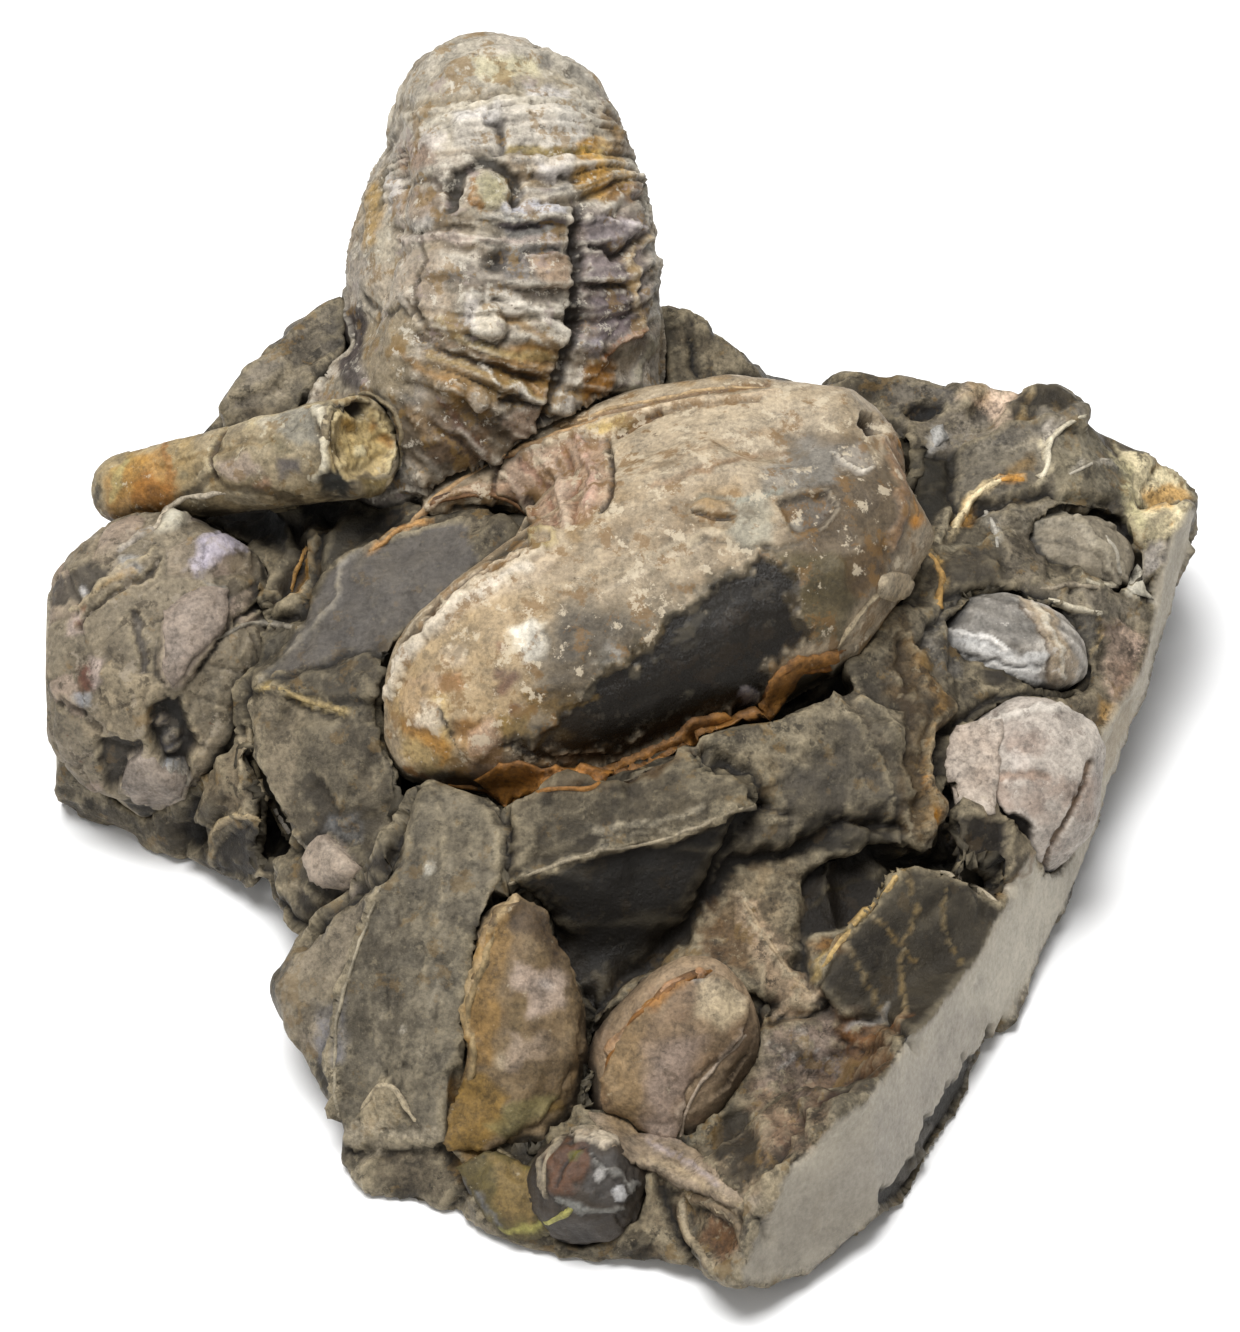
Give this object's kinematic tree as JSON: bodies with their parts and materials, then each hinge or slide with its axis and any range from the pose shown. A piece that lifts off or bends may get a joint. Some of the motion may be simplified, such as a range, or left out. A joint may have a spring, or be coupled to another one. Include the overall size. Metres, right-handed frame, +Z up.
{
  "type": "ammonite fossil",
  "caption": "Broken block of dark mudstone, sawn flat on one side, with a ribbed coil standing in it, a smooth coil lying, a straight shell and smaller shells.",
  "frame": {"origin": "on the flat base, under the middle of the block", "axes": "+Z up from the flat base, -Y to the front that the picture shows, +X to the sawn side"},
  "size_m": [0.1839, 0.1924, 0.0987],
  "materials": {
    "mudstone": "dull broken dark mudstone, sawn grey on the right and underneath",
    "ribbed_shell": "flaking cream and grey-lilac shell, satin",
    "smooth_shell": "tan shell with a brown nacreous end and a glossy black bare mould, satin",
    "straight_shell": "ochre and grey shell with crystal in its broken end, dull",
    "worn_shell": "worn brown-grey mould with pink shell patches, dull",
    "pearly_shell": "pink-white shell, satin",
    "grey_shell": "grey shell with silvery ribs, satin",
    "dark_shell": "dark mould, dull",
    "brown_shell": "brown laminated shell, dull",
    "tan_shell": "tan and pink laminated shell, satin",
    "dark_valve": "dark mould with traces of shell, dull"
  },
  "bodies": {
    "root": {"matrix": "mudstone", "standing_ammonite": "ribbed_shell", "reclining_ammonite": "smooth_shell", "straight_ammonite": "straight_shell", "worn_ammonite": "worn_shell", "pearly_valve": "pearly_shell", "small_ammonite": "grey_shell", "arched_whorl": "dark_shell", "front_shell": "brown_shell", "tan_shell": "tan_shell", "round_valve": "dark_valve"}
  },
  "joints": []
}
